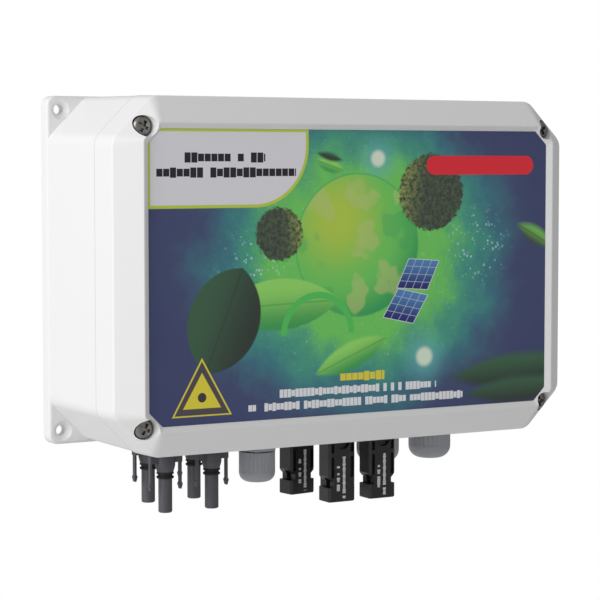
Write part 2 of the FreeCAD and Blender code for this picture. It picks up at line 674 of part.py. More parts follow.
fuse_xs = FUSE_X_POS + FUSE_X_NEG
for i, x in enumerate(fuse_xs, 1):
    save("string_fuse_%d" % i, string_fuse(x))
lower_clips = [fuse_clip(x, FUSE_Z[0] - 1, FUSE_Z[0] + 9, FUSE_Z[0] + 1) for x in fuse_xs]
upper_clips = [fuse_clip(x, FUSE_Z[1] - 9, CLIP_TOP, FUSE_Z[1] - 9) for x in fuse_xs]
save("fuse_clips", Part.makeCompound(lower_clips + upper_clips))

save("string_terminals_pos", terminal_block(FUSE_X_POS, LEAD_R + LEAD_GAP, 8.0))
save("string_terminals_neg", terminal_block(FUSE_X_NEG, LEAD_R + LEAD_GAP, 8.0))
save("output_terminals", terminal_block(OUTPUT_X, 4.5, 8.0))
save("earth_terminal", earth_terminal())
well_z = (TERMINAL_Z[0] + TERMINAL_Z[1]) / 2 + 3
screws = [terminal_screw(x, well_z, TERMINAL_DEPTH - 4) for x in fuse_xs + OUTPUT_X]
save("terminal_screws", Part.makeCompound(screws))
save("varistors", Part.makeCompound([varistor(z) for z in (14.0, 31.0, 48.0)]))
save("busbar_positive", busbar_positive())
save("busbar_negative", busbar_negative())

save("string_leads_pos", Part.makeCompound(
    [lead(x, y, end) for (x, y, _), end in zip(SOCKETS, FUSE_X_POS)]))
save("string_leads_neg", Part.makeCompound(
    [lead(x, y, end) for (x, y, _), end in zip(PLUGS, FUSE_X_NEG)]))
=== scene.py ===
# %% [markdown]
# # A DC combiner box
# The cables of four solar strings end in this grey plastic box, which joins them through fuses onto one
# output. The imported model already holds every moulded and turned part at its real size, so this lesson
# spends its time on finishes: moulded plastic, a printed label, dark steel screws and the circuit board.
# The frame is loaded first. The looks may not change the size.

import math

import bmesh
import bpy
from mathutils import Matrix, Vector


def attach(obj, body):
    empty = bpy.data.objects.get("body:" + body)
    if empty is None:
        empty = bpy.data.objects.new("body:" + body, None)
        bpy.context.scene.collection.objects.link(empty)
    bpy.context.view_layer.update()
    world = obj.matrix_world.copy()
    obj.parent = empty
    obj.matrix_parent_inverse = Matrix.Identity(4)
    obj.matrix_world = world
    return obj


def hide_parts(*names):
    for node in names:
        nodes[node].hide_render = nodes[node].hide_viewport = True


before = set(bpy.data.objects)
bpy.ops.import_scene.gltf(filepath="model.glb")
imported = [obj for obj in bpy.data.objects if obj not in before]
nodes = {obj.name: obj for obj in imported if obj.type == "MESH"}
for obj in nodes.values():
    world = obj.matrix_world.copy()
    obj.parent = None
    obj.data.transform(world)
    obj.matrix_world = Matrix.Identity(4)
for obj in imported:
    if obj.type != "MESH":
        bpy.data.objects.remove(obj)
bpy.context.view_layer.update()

# %% [markdown]
# ## Camera
# A product photograph of a flat box is taken with a long lens from a good distance, so that its edges stay
# nearly parallel. The camera stands in front, about thirty degrees round to the left and slightly above.
# An angle and a distance are easier to change than a matrix, so the place is given as plain numbers.

# %% Camera
MM = 0.001
LENS = 123.1
SENSOR = 36.0
CAMERA_PLACE = Vector((-553.8, -996.4, 57.7)) * MM
CAMERA_TURN = -29.97
CAMERA_DIP = -3.90

camera_data = bpy.data.cameras.new("camera")
camera_data.lens = LENS
camera_data.sensor_width = SENSOR
camera_data.clip_start = 0.01
camera = bpy.data.objects.new("camera", camera_data)
camera.location = CAMERA_PLACE
camera.rotation_euler = (math.radians(90 + CAMERA_DIP), 0.0, math.radians(CAMERA_TURN))
bpy.context.scene.collection.objects.link(camera)
bpy.context.scene.camera = camera
print("camera distance to the box:", round(CAMERA_PLACE.length, 3), "m")

# %% [markdown]
# ## Light
# The box is shown on white with a large window of light on its left. A bright sky all round gives the
# even part, and one area lamp the rest. The sky is plain white where the camera sees it and dimmer as a
# light, because a sky that looks white would wash every shadow out of a white box. It is dimmer still on
# the right, away from the window, so that each slope of the cover gets its own grey. A pale disc under the
# box is the floor.

# %% Sky, lamp and floor
SKY_LEFT = 0.56
SKY_RIGHT = 0.30
SKY_SEEN = 1.0
SKY_FADE = (-0.4, 1.0)
WINDOW_PLACE = (-1.6, -0.25, 0.55)
WINDOW_SIZE = (1.3, 1.3)
WINDOW_WATTS = 17.0
LAMP_AIM = (0.0, -0.05, 0.0)
FLOOR_LOW = -0.30
FLOOR_RADIUS = 0.45


def make_sky():
    world = bpy.data.worlds.new("sky")
    world.use_nodes = True
    tree = world.node_tree
    tree.nodes.clear()
    place = tree.nodes.new("ShaderNodeTexCoord")
    split = tree.nodes.new("ShaderNodeSeparateXYZ")
    fade = tree.nodes.new("ShaderNodeMapRange")
    fade.inputs["From Min"].default_value = SKY_FADE[0]
    fade.inputs["From Max"].default_value = SKY_FADE[1]
    fade.inputs["To Min"].default_value = SKY_LEFT
    fade.inputs["To Max"].default_value = SKY_RIGHT
    path = tree.nodes.new("ShaderNodeLightPath")
    strength = tree.nodes.new("ShaderNodeMapRange")
    strength.inputs["To Max"].default_value = SKY_SEEN
    background = tree.nodes.new("ShaderNodeBackground")
    background.inputs["Color"].default_value = (1.0, 1.0, 1.0, 1.0)
    output = tree.nodes.new("ShaderNodeOutputWorld")
    tree.links.new(place.outputs["Generated"], split.inputs[0])
    tree.links.new(split.outputs["X"], fade.inputs["Value"])
    tree.links.new(fade.outputs[0], strength.inputs["To Min"])
    tree.links.new(path.outputs["Is Camera Ray"], strength.inputs["Value"])
    tree.links.new(strength.outputs[0], background.inputs["Strength"])
    tree.links.new(background.outputs[0], output.inputs["Surface"])
    bpy.context.scene.world = world


def make_lamp(name, place, size, watts):
    data = bpy.data.lights.new(name, "AREA")
    data.shape = "RECTANGLE"
    data.size, data.size_y = size
    data.energy = watts
    lamp = bpy.data.objects.new(name, data)
    lamp.location = place
    lamp.rotation_euler = (Vector(LAMP_AIM) - Vector(place)).to_track_quat("-Z", "Y").to_euler()
    bpy.context.scene.collection.objects.link(lamp)


def make_floor():
    bm = bmesh.new()
    bmesh.ops.create_circle(bm, cap_ends=True, segments=96, radius=FLOOR_RADIUS)
    bmesh.ops.translate(bm, verts=bm.verts, vec=(0.0, 0.0, FLOOR_LOW))
    mesh = bpy.data.meshes.new("floor")
    bm.to_mesh(mesh)
    bm.free()
    floor = bpy.data.objects.new("floor", mesh)
    bpy.context.scene.collection.objects.link(floor)
    return floor


make_sky()
make_lamp("left_window", WINDOW_PLACE, WINDOW_SIZE, WINDOW_WATTS)
floor = make_floor()
bpy.context.scene.view_settings.view_transform = "Standard"

# %% [markdown]
# ## Sums with sockets
# Procedural finishes are arithmetic on positions. Wiring that by hand takes four lines a sum, so one
# small class wraps an output socket and lets Python's own operators add the Math nodes. Colours and
# vectors go through Mix and Vector Math instead, because a Math node turns a colour into a grey.

# %% The socket wrapper
class Wire:
    """One output of a shader tree, used like a number."""

    def __init__(self, tree, socket):
        self.tree = tree
        self.socket = socket

    def node(self, kind, settings, values, output=0):
        """Adds a node of any type: its settings first, then its sockets by number or name."""
        return add_node(self.tree, kind, settings, values, output)

    def math(self, operation, *values):
        return self.node("ShaderNodeMath", {"operation": operation}, dict(enumerate(values)))

    def __add__(self, other):
        return self.math("ADD", self, other)

    def __radd__(self, other):
        return self.math("ADD", other, self)

    def __sub__(self, other):
        return self.math("SUBTRACT", self, other)

    def __rsub__(self, other):
        return self.math("SUBTRACT", other, self)

    def __mul__(self, other):
        return self.math("MULTIPLY", self, other)

    def __rmul__(self, other):
        return self.math("MULTIPLY", other, self)

    def __truediv__(self, other):
        return self.math("DIVIDE", self, other)

    def __rtruediv__(self, other):
        return self.math("DIVIDE", other, self)

    def __neg__(self):
        return self.math("MULTIPLY", self, -1.0)

    def __abs__(self):
        return self.math("ABSOLUTE", self)

    def __gt__(self, other):
        return self.math("GREATER_THAN", self, other)

    def __lt__(self, other):
        return self.math("LESS_THAN", self, other)

    def low(self, other):
        return self.math("MINIMUM", self, other)

    def high(self, other):
        return self.math("MAXIMUM", self, other)

    def floor(self):
        return self.math("FLOOR", self)

    def root(self):
        return self.math("SQRT", self)

    def clamp(self):
        return self.node("ShaderNodeClamp", {}, {0: self})

    def ramp(self, start, end):
        """0 before start, 1 after end, smooth between."""
        settings = {"interpolation_type": "SMOOTHSTEP"}
        return self.node("ShaderNodeMapRange", settings, {0: self, 1: start, 2: end})


def add_node(tree, kind, settings, values, output=0):
    node = tree.nodes.new(kind)
    for name, value in settings.items():
        setattr(node, name, value)
    for key, value in values.items():
        if isinstance(value, Wire):
            tree.links.new(value.socket, node.inputs[key])
        else:
            node.inputs[key].default_value = value
    return Wire(tree, node.outputs[output])


# %% [markdown]
# ## The start and the end of every finish
# Each finish starts from the position on the object in millimetres, so that a grain of 0.4 mm is written
# as 0.4. It ends in one Principled shader. What varies goes to colour, roughness, metallic or the bump.
# A bump is a height in millimetres too.

# %% Material helpers
def start(name):
    """A new material's tree, and the position on the object in millimetres."""
    material = bpy.data.materials.new(name)
    material.use_nodes = True
    tree = material.node_tree
    tree.nodes.clear()
    place = add_node(tree, "ShaderNodeTexCoord", {}, {}, "Object")
    spot = add_node(tree, "ShaderNodeVectorMath", {"operation": "SCALE"}, {0: place, 3: 1000.0})
    return material, spot


def finish(material, colour, roughness, metallic=0.0, height=None, specular=0.5, coat=0.0):
    tree = material.node_tree
    values = {"Base Color": colour, "Roughness": roughness, "Metallic": metallic,
              "Specular IOR Level": specular, "Coat Weight": coat}
    if height is not None:
        bump = add_node(tree, "ShaderNodeBump", {}, {"Strength": 1.0, "Distance": MM, "Height": height})
        values["Normal"] = bump
    shader = add_node(tree, "ShaderNodeBsdfPrincipled", {}, values)
    output = tree.nodes.new("ShaderNodeOutputMaterial")
    tree.links.new(shader.socket, output.inputs["Surface"])
    return material


def axes(spot):
    """The three coordinates of a position."""
    split = spot.tree.nodes.new("ShaderNodeSeparateXYZ")
    spot.tree.links.new(spot.socket, split.inputs[0])
    return [Wire(spot.tree, socket) for socket in split.outputs]


def noise(spot, size, detail=2.0, roughness=0.5):
    """Soft noise between 0 and 1, with features about size millimetres across."""
    values = {"Vector": spot, "Scale": 1.0 / size, "Detail": detail, "Roughness": roughness}
    return spot.node("ShaderNodeTexNoise", {}, values)


def mix(factor, a, b):
    """Colour a where factor is 0, colour b where it is 1."""
    tree = factor.tree
    return add_node(tree, "ShaderNodeMix", {"data_type": "RGBA"}, {0: factor, 6: a, 7: b}, 2)


def rgb(r, g, b):
    return (r, g, b, 1.0)


def wear(node, material):
    """Gives a CAD node its finish."""
    slots = nodes[node].data.materials
    slots.clear()
    slots.append(material)


# %% [markdown]
# ## Moulded plastic
# An enclosure is injection moulded in a spark-eroded tool, which leaves a fine, even grain, and a slow
# waviness where the plastic shrank. The grain is bump only. The colour hardly varies at all: a little
# mottling and a trace of handling, or the surface looks like paper.

# %% Moulded plastic finish
CASE_HALF = (134.6, 89.6)
CORNER_SUM = 202.9


def moulded(name, colour, roughness, grain=0.45, depth=0.012, mottle=0.03, specular=0.5, seam=None):
    """Textured moulding: colour, roughness, and grain size and depth in millimetres. A thin dark grey
    line round the outside at the depth called seam is a painted shadow of the gap between cover and case."""
    material, spot = start(name)
    fine = noise(spot, grain, 3.0, 0.6)
    slow = noise(spot, 38.0, 3.0)
    smudge = noise(spot, 11.0, 5.0, 0.65)
    shade = 1.0 - mottle + (slow * 0.6 + fine * 0.4) * mottle
    dark = rgb(*(c * 0.6 for c in colour))
    body = mix(shade, dark, rgb(*colour))
    if seam is not None:
        x, y, z = axes(spot)
        corner = (abs(x) + abs(z) - CORNER_SUM) * math.sqrt(0.5)
        outside = (abs(x) - CASE_HALF[0]).high(abs(z) - CASE_HALF[1]).high(corner) > -0.3
        # Painted shadow: a thin dark grey line round the outside at the seam depth, in place of the shadow
        # in the gap between cover and case.
        dust_and_painted_shade = (abs(y + seam) - 0.15).ramp(0.25, 0.0) * outside
        body = mix(dust_and_painted_shade * 0.75, body, rgb(0.20, 0.20, 0.20))
    rough = roughness + (smudge - 0.5) * 0.10 + (fine - 0.5) * 0.06
    height = fine * depth + slow * 0.05
    return finish(material, body, rough, height=height, specular=specular)


case_plastic = moulded("case_plastic", (0.87, 0.875, 0.87), 0.44, seam=66.8)
cover_plastic = moulded("cover_plastic", (0.87, 0.875, 0.87), 0.42, seam=67.0)
socket_plastic = moulded("socket_plastic", (0.085, 0.083, 0.097), 0.42, 0.30, 0.010, 0.25)
gland_plastic = moulded("gland_plastic", (0.35, 0.36, 0.385), 0.40, 0.35, 0.010, 0.15)
terminal_plastic = moulded("terminal_plastic", (0.05, 0.27, 0.09), 0.38, 0.30, 0.008, 0.2)
floor_paint = moulded("floor_paint", (0.86, 0.86, 0.86), 0.6, 1.5)
nut_plastic = moulded("nut_plastic", (0.018, 0.018, 0.02), 0.42, 0.30, 0.010, 0.3)

wear("rear_case", case_plastic)
wear("front_cover", cover_plastic)
for i in range(1, 5):
    wear("socket_connector_%d" % i, socket_plastic)
for i in range(1, 4):
    wear("gland_body_%d" % i, gland_plastic)
    wear("gland_dome_%d" % i, gland_plastic)
wear("gland_locknuts", gland_plastic)
wear("connector_nuts", nut_plastic)
for name in ("string_terminals_pos", "string_terminals_neg", "output_terminals"):
    wear(name, terminal_plastic)
floor.data.materials.append(floor_paint)
print("moulded finishes:", 7)

# %% [markdown]
# ## Flat artwork from distances
# The front label is printed film. Its artwork is flat shapes, and the tidy way to draw a flat shape in a
# shader is a distance: negative inside, positive outside, zero on the edge. A mask is that distance cut
# at zero over a short width. Every shape below is a disc, a rounded box, a lens or a triangle.

# %% Shape helpers
def inside(distance, soft=0.25):
    """1 inside a shape and 0 outside, from its distance in millimetres."""
    return (0.5 - distance / soft).clamp()


def turned(x, z, cx, cz, degrees):
    """Coordinates from a centre, turned anticlockwise by an angle."""
    cos, sin = math.cos(math.radians(degrees)), math.sin(math.radians(degrees))
    dx, dz = x - cx, z - cz
    return dx * cos + dz * sin, dz * cos - dx * sin


def length(a, b):
    return (a * a + b * b).root()


def disc(x, z, cx, cz, radius):
    return length(x - cx, z - cz) - radius


def box(x, z, cx, cz, half_wide, half_tall, corner=0.0):
    """Distance to a box, its corners rounded."""
    a = (abs(x - cx) - (half_wide - corner)).high(0.0)
    b = (abs(z - cz) - (half_tall - corner)).high(0.0)
    return length(a, b) - corner


def lens(x, z, cx, cz, long, wide, degrees):
    """Distance to a pointed leaf: where two equal circles overlap."""
    radius = (long * long + wide * wide) / (4.0 * wide)
    a, b = turned(x, z, cx, cz, degrees)
    return length(a, abs(b) + (radius - wide / 2.0)) - radius


def triangle(x, z, cx, cz, half_base, low, high):
    """Distance to an upright triangle with its base at low and its apex at high."""
    slope = (high - low) / half_base
    side = (abs(x - cx) * slope + (z - cz) - high) / math.hypot(slope, 1.0)
    return side.high(low - (z - cz))


# %% [markdown]
# ## The label's backdrop
# The ground runs from navy at the rim through teal to a bright green glow behind a plain ball. One radial
# distance, bent a little by noise so that it looks like mist, drives a chain of Mix nodes. The ball is
# shaded with a second distance, and its soft patches are thresholded noise.

# %% Backdrop of the label
NAVY = rgb(0.050, 0.066, 0.180)
INDIGO = rgb(0.062, 0.085, 0.200)
TEAL = rgb(0.050, 0.250, 0.300)
SEA = rgb(0.075, 0.430, 0.260)
GRASS = rgb(0.190, 0.720, 0.130)
LIME = rgb(0.560, 0.760, 0.080)
BALL = (0.0, 14.0, 36.5)


def backdrop(spot, x, z):
    drift = noise(spot, 26.0, 5.0, 0.6)
    wisp = noise(spot, 8.0, 6.0, 0.7)
    far = length((x - 2.0) * 0.86, z - 8.0) + (drift - 0.5) * 42.0 + (wisp - 0.5) * 8.0
    paint = mix(far.ramp(118.0, 78.0), NAVY, INDIGO)
    paint = mix(far.ramp(92.0, 62.0), paint, TEAL)
    paint = mix(far.ramp(74.0, 52.0), paint, SEA)
    paint = mix(far.ramp(58.0, 40.0), paint, GRASS)
    spray = (noise(spot, 3.2, 5.0, 0.8)).ramp(0.54, 0.74) * far.ramp(76.0, 48.0)
    return mix(spray * 0.55, paint, rgb(0.55, 0.90, 0.62))


def ball(spot, x, z, paint):
    cx, cz, radius = BALL
    light = length(x - (cx - 12.0), z - (cz + 14.0)) / radius
    skin = mix(light.ramp(0.1, 1.0), LIME, GRASS)
    skin = mix(light.ramp(0.9, 1.6), skin, rgb(0.02, 0.40, 0.12))
    patch = noise(spot, 21.0, 2.0, 0.45)
    skin = mix(patch.ramp(0.52, 0.57) * 0.55, skin, rgb(0.60, 0.72, 0.24))
    skin = mix(patch.ramp(0.42, 0.36) * 0.35, skin, rgb(0.03, 0.46, 0.14))
    distance = disc(x, z, cx, cz, radius)
    paint = mix(inside(abs(distance) - 0.5, 1.2) * 0.7, paint, rgb(0.02, 0.42, 0.16))
    return mix(inside(distance, 0.8), paint, skin)


# %% [markdown]
# ## Leaves, bushes, panels and drops
# The rest of the picture is dressing, kept plain: two ragged bushes, two tilted panels with a grid, a few
# blurred leaves, two soft lights and a spray of drops. Each is one function that takes the paint so far
# and returns it with one more layer, so the order of the calls is the order of the layers.

# %% Dressing of the label
PANEL_CELLS = 4.0


def glow(x, z, cx, cz, radius, paint):
    near = length(x - cx, z - cz).ramp(radius * 3.0, 0.0)
    core = length(x - cx, z - cz).ramp(radius, radius * 0.5)
    paint = mix(near * 0.6, paint, rgb(0.20, 0.62, 0.66))
    return mix(core, paint, rgb(0.85, 0.98, 0.80))


def bush(spot, x, z, cx, cz, radius, lit, paint):
    """Ragged dark disc with lit leaves on one side. lit is -1 for the left and 1 for the right."""
    leaves = noise(spot, 2.4, 5.0, 0.8)
    distance = disc(x, z, cx, cz, radius) + (leaves - 0.5) * 7.0
    side = ((x - cx) * lit / radius + (z - cz) * 0.15 / radius).ramp(0.1, 1.0)
    skin = mix(leaves.ramp(0.38, 0.66), rgb(0.045, 0.050, 0.045), rgb(0.10, 0.16, 0.08))
    skin = mix(side * leaves.ramp(0.40, 0.60), skin, rgb(0.36, 0.44, 0.10))
    return mix(inside(distance, 1.0), paint, skin)


def panel(x, z, corner, across, down, paint):
    """Tilted panel of four by four cells. across and down are the edges from its upper left corner."""
    (cx, cz), (ax, az), (dx, dz) = corner, across, down
    area = ax * dz - az * dx
    px, pz = x - cx, z - cz
    u = (px * dz - pz * dx) / area
    v = (pz * ax - px * az) / area
    inner = box(u, v, 0.5, 0.5, 0.5, 0.5, 0.02)
    cell_u = abs(u.math("FRACT", u * PANEL_CELLS) - 0.5)
    cell_v = abs(v.math("FRACT", v * PANEL_CELLS) - 0.5)
    line = (cell_u.high(cell_v)).ramp(0.455, 0.475)
    skin = mix(v.ramp(0.0, 1.0), rgb(0.10, 0.28, 0.62), rgb(0.018, 0.022, 0.20))
    skin = mix(line, skin, rgb(0.55, 0.66, 0.80))
    rim = (abs(u - 0.5).high(abs(v - 0.5))).ramp(0.47, 0.485)
    skin = mix(rim, skin, rgb(0.80, 0.84, 0.86))
    return mix(inside(inner, 0.01), paint, skin)


def leaf(x, z, cx, cz, long, wide, degrees, colours, paint, soft=1.6, veined=0.5):
    _, b = turned(x, z, cx, cz, degrees)
    distance = lens(x, z, cx, cz, long, wide, degrees)
    vein = (abs(b) - 0.25).ramp(0.35, 0.0) * veined
    skin = mix((b / wide).ramp(-0.5, 0.4), rgb(*colours[0]), rgb(*colours[1]))
    skin = mix(vein, skin, rgb(*colours[0]))
    return mix(inside(distance, soft), paint, skin)


def drops(spot, x, z, cx, cz, radius, paint):
    """Spray of small round drops, thinning out from a centre."""
    cells = spot.node("ShaderNodeTexVoronoi", {}, {"Vector": spot, "Scale": 0.42, "Randomness": 1.0})
    chance = noise(spot, 5.0, 1.0)
    near = length(x - cx, z - cz).ramp(radius, radius * 0.3)
    ring = (abs(cells - 0.24) - 0.05).ramp(0.05, 0.0)
    return mix(ring * near * chance.ramp(0.46, 0.56) * 0.8, paint, rgb(0.62, 0.90, 0.98))


# %% [markdown]
# ## Lines of print
# The film carries a heading and a few lines of small print. Here they are rows of plain blocks with the
# height, spacing and gaps of words, as a typesetter draws text that isn't written yet. A row is cut into
# cells, a White Noise node says which cells are gaps, and a second one makes some blocks taller.

# %% Rows of blocks
def print_row(x, z, left, right, middle, tall, pitch, seed):
    """Mask of one row of blocks, from left to right, centred on a height."""
    place = (x - left) / pitch
    cell = place.floor()
    across = abs(place - cell - 0.5)
    pick = x.node("ShaderNodeTexWhiteNoise", {"noise_dimensions": "1D"}, {"W": cell + seed})
    rise = x.node("ShaderNodeTexWhiteNoise", {"noise_dimensions": "1D"}, {"W": cell + seed + 57.3})
    half = tall * (0.38 + 0.12 * (rise > 0.5))
    block = inside((across - 0.45) * pitch, 0.12) * inside(abs(z - middle) - half, 0.12)
    row = (x > left) * (x < right)
    return block * row * (pick > 0.11)


# %% [markdown]
# ## The printed label
# All layers meet here, in the order a printer would lay them down. The film itself is slightly glossy with
# a fine orange-peel surface.

# %% Label finish
PANEL_EDGES = (-119.7, -29.5, 34.0, 73.4)
PANEL_CORNER = 31.0
PANEL_LINE = 1.6
PAPER = rgb(0.89, 0.875, 0.93)
LINE_GREEN = rgb(0.62, 0.74, 0.07)
INK = rgb(0.012, 0.010, 0.022)
WHITE = rgb(0.93, 0.94, 0.97)
RED = rgb(0.94, 0.022, 0.040)
YELLOW = rgb(0.90, 0.78, 0.05)
LEAF_BRIGHT = ((0.05, 0.42, 0.10), (0.36, 0.86, 0.16))
LEAF_DARK = ((0.03, 0.045, 0.035), (0.05, 0.14, 0.07))
LEAF_SOFT = ((0.06, 0.10, 0.06), (0.22, 0.62, 0.11))
LEAF_SHADE = ((0.025, 0.040, 0.035), (0.050, 0.150, 0.070))


def title_panel(x, z, paint):
    """Grey panel in the upper left corner. Its lower right corner is a wide arc."""
    left, right, low, high = PANEL_EDGES
    a = (x - (right - PANEL_CORNER)).high(0.0)
    b = ((low + PANEL_CORNER) - z).high(0.0)
    arc = length(a, b) - PANEL_CORNER
    outer = arc.high(left - x).high(z - high)
    inner = (arc + PANEL_LINE).high(left + PANEL_LINE - 0.4 - x).high(z - (high - PANEL_LINE))
    paint = mix(inside(outer), paint, LINE_GREEN)
    paint = mix(inside(inner), paint, PAPER)
    words = print_row(x, z, -100.0, -54.6, 59.0, 5.0, 3.7, 11.0)
    words = words.high(print_row(x, z, -115.4, -36.9, 51.6, 5.0, 3.7, 31.0))
    return mix(words, paint, INK)


def caution_sign(x, z, paint):
    """Plain yellow triangle with a dark rim and a dark dot."""
    cx, cz = -90.6, -60.0
    paint = mix(inside(triangle(x, z, cx, cz, 16.2, -8.8, 19.4) - 0.3), paint, YELLOW)
    paint = mix(inside(triangle(x, z, cx, cz, 15.0, -8.2, 17.8) - 0.2), paint, rgb(0.09, 0.075, 0.09))
    paint = mix(inside(triangle(x, z, cx, cz, 10.6, -5.2, 12.6)), paint, YELLOW)
    return mix(inside(disc(x, z, cx, cz + 0.2, 2.4)), paint, rgb(0.05, 0.04, 0.05))


def label_film():
    material, spot = start("label_film")
    x, _, z = axes(spot)
    paint = backdrop(spot, x, z)
    paint = glow(x, z, 12.0, 58.5, 5.5, paint)
    paint = glow(x, z, 41.0, -45.5, 6.5, paint)
    paint = ball(spot, x, z, paint)
    paint = drops(spot, x, z, -62.0, 2.0, 26.0, paint)
    paint = drops(spot, x, z, 74.0, 12.0, 26.0, paint)
    paint = bush(spot, x, z, -46.5, 20.5, 13.5, 1, paint)
    paint = bush(spot, x, z, 45.0, 41.0, 20.0, -1, paint)
    paint = panel(x, z, (31.0, 6.5), (19.5, -1.5), (-7.5, -15.5), paint)
    paint = panel(x, z, (24.5, -9.0), (19.0, -4.0), (-9.5, -15.0), paint)
    paint = leaf(x, z, -17.0, 55.0, 17.0, 6.5, -18.0, LEAF_BRIGHT, paint)
    paint = leaf(x, z, -17.0, 59.5, 15.0, 4.0, -14.0, LEAF_DARK, paint)
    paint = leaf(x, z, 113.0, 17.0, 26.0, 9.0, -28.0, LEAF_SOFT, paint, 3.0)
    paint = leaf(x, z, 100.0, -55.0, 84.0, 17.0, 4.0, LEAF_SHADE, paint, 4.0, 0.0)
    paint = leaf(x, z, 103.0, -66.0, 70.0, 14.0, 2.0, LEAF_DARK, paint, 4.0, 0.0)
    paint = leaf(x, z, -4.0, -43.0, 46.0, 14.0, 22.0, LEAF_BRIGHT, paint)
    paint = leaf(x, z, -46.0, -15.0, 70.0, 26.0, 2.0, LEAF_BRIGHT, paint, 0.8)
    paint = leaf(x, z, -78.0, -22.0, 56.0, 40.0, 68.0, LEAF_DARK, paint, 0.8)
    stem = abs(disc(x, z, -24.0, -31.0, 20.0)) - 1.7
    stem = stem.high(-31.0 - z)
    paint = mix(inside(stem, 0.6), paint, rgb(0.10, 0.66, 0.12))
    paint = title_panel(x, z, paint)
    paint = caution_sign(x, z, paint)
    paint = mix(inside(box(x, z, 76.5, 55.0, 34.5, 5.0, 5.0)), paint, RED)
    paint = mix(print_row(x, z, -14.4, 16.2, -53.8, 4.8, 3.6, 4.0), paint, YELLOW)
    small = print_row(x, z, -46.6, 48.6, -60.4, 4.2, 2.3, 71.0)
    small = small.high(print_row(x, z, -64.6, 65.6, -66.8, 4.2, 2.3, 119.0))
    paint = mix(small, paint, WHITE)
    grain = noise(spot, 0.5, 2.0)
    peel = noise(spot, 2.6, 2.0)
    paint = mix(grain.ramp(0.25, 0.75) * 0.06, paint, rgb(0.30, 0.30, 0.36))
    rough = 0.36 + (peel - 0.5) * 0.12
    return finish(material, paint, rough, height=peel * 0.02 + grain * 0.006, specular=0.4)


label_film_finish = label_film()
wear("front_label", label_film_finish)
print("nodes in the label's finish:", len(label_film_finish.node_tree.nodes))

# %% [markdown]
# ## Metals and rubber
# The cover screws are stainless steel gone dull and brushed by the driver. Contacts and
# spring clips are tinned, busbars are rolled copper, spacers turned brass. Rubber is near black and takes
# a faint bloom. One function makes all the metals, because only colour, brushing and dullness differ.

# %% Metal and rubber finishes
def metal(name, colour, roughness, stretch=(1.0, 1.0, 1.0), tarnish=0.25):
    """Metal with fine lines. stretch is how much longer the lines are along each axis."""
    material, spot = start(name)
    squash = tuple(1.0 / s for s in stretch)
    long = add_node(material.node_tree, "ShaderNodeVectorMath", {"operation": "MULTIPLY"},
                    {0: spot, 1: squash})
    lines = noise(long, 0.22, 3.0, 0.6)
    cloud = noise(spot, 3.5, 4.0, 0.6)
    dull = rgb(*(c * 0.45 for c in colour))
    body = mix(1.0 - cloud.ramp(0.45, 0.75) * tarnish - (lines - 0.5) * 0.2, dull, rgb(*colour))
    rough = roughness + (cloud - 0.5) * 0.25 + (lines - 0.5) * 0.15
    return finish(material, body, rough, metallic=1.0, height=lines * 0.006)


def rubber(name, colour, roughness=0.62):
    material, spot = start(name)
    bloom = noise(spot, 4.0, 4.0, 0.6)
    fine = noise(spot, 0.35, 2.0)
    pale = rgb(*(c + 0.02 for c in colour))
    body = mix(bloom.ramp(0.45, 0.8) * 0.5, rgb(*colour), pale)
    return finish(material, body, roughness + (bloom - 0.5) * 0.15, height=fine * 0.01, specular=0.35)


screw_steel = metal("screw_steel", (0.30, 0.285, 0.27), 0.34, (1.0, 1.0, 6.0), 0.6)
bright_steel = metal("bright_steel", (0.62, 0.62, 0.62), 0.30)
tinned_copper = metal("tinned_copper", (0.72, 0.70, 0.66), 0.28, (1.0, 1.0, 8.0))
spring_brass = metal("spring_brass", (0.78, 0.70, 0.52), 0.32, (6.0, 1.0, 1.0))
plain_brass = metal("plain_brass", (0.76, 0.57, 0.26), 0.30, (6.0, 1.0, 6.0))
bar_copper = metal("bar_copper", (0.86, 0.42, 0.26), 0.30, (12.0, 1.0, 1.0), 0.45)
seal_rubber = rubber("seal_rubber", (0.012, 0.012, 0.013))

for i in range(1, 5):
    wear("screw_oring_%d" % i, seal_rubber)
for i in range(1, 4):
    wear("gland_seal_%d" % i, seal_rubber)
for name in ("cover_gasket", "connector_seals", "probe_seals", "gland_washers"):
    wear(name, seal_rubber)
wear("socket_contacts", tinned_copper)
wear("pin_contacts", tinned_copper)
wear("fuse_clips", spring_brass)
wear("board_spacers", plain_brass)
wear("earth_terminal", plain_brass)
wear("board_screws", bright_steel)
wear("terminal_screws", bright_steel)
wear("busbar_positive", bar_copper)
wear("busbar_negative", bar_copper)
print("metals:", 6)

# %% [markdown]
# ## String plugs
# The plugs are black moulded shells with two short lines of white print that run down the front face. The
# print is a row of blocks again, with the two coordinates swapped so that it runs downwards. Each plug has
# its own finish, because the print is placed from the plug's own centre.

# %% Plug finishes
PLUGS = [(7.7, -19.0, 1.0), (13.15, -53.0, 0.0), (34.0, -19.0, 0.0), (38.8, -53.0, 0.0)]
PRINT_FACE = 4.6
PRINT_WHITE = rgb(0.66, 0.66, 0.68)


def plug_plastic(number, cx, cy, shift):
    material, spot = start("plug_plastic_%d" % number)
    x, y, z = axes(spot)
    fine = noise(spot, 0.30, 3.0, 0.6)
    smudge = noise(spot, 7.0, 5.0, 0.65)
    body = mix(fine * 0.5 + smudge * 0.5, rgb(0.007, 0.007, 0.008), rgb(0.020, 0.020, 0.023))
    down = -z
    long_line = print_row(down, x, 101.4, 124.2, cx + 1.1 + shift, 1.9, 1.25, 20.0 + number)
    short_line = print_row(down, x, 106.4, 119.9, cx - 2.5 + shift, 1.9, 1.25, 60.0 + number)
    ink = long_line.high(short_line) * (y < cy - PRINT_FACE)
    paint = mix(ink, body, PRINT_WHITE)
    rough = 0.36 + (smudge - 0.5) * 0.14 + ink * 0.12
    return finish(material, paint, rough, height=fine * 0.009 + ink * 0.01)


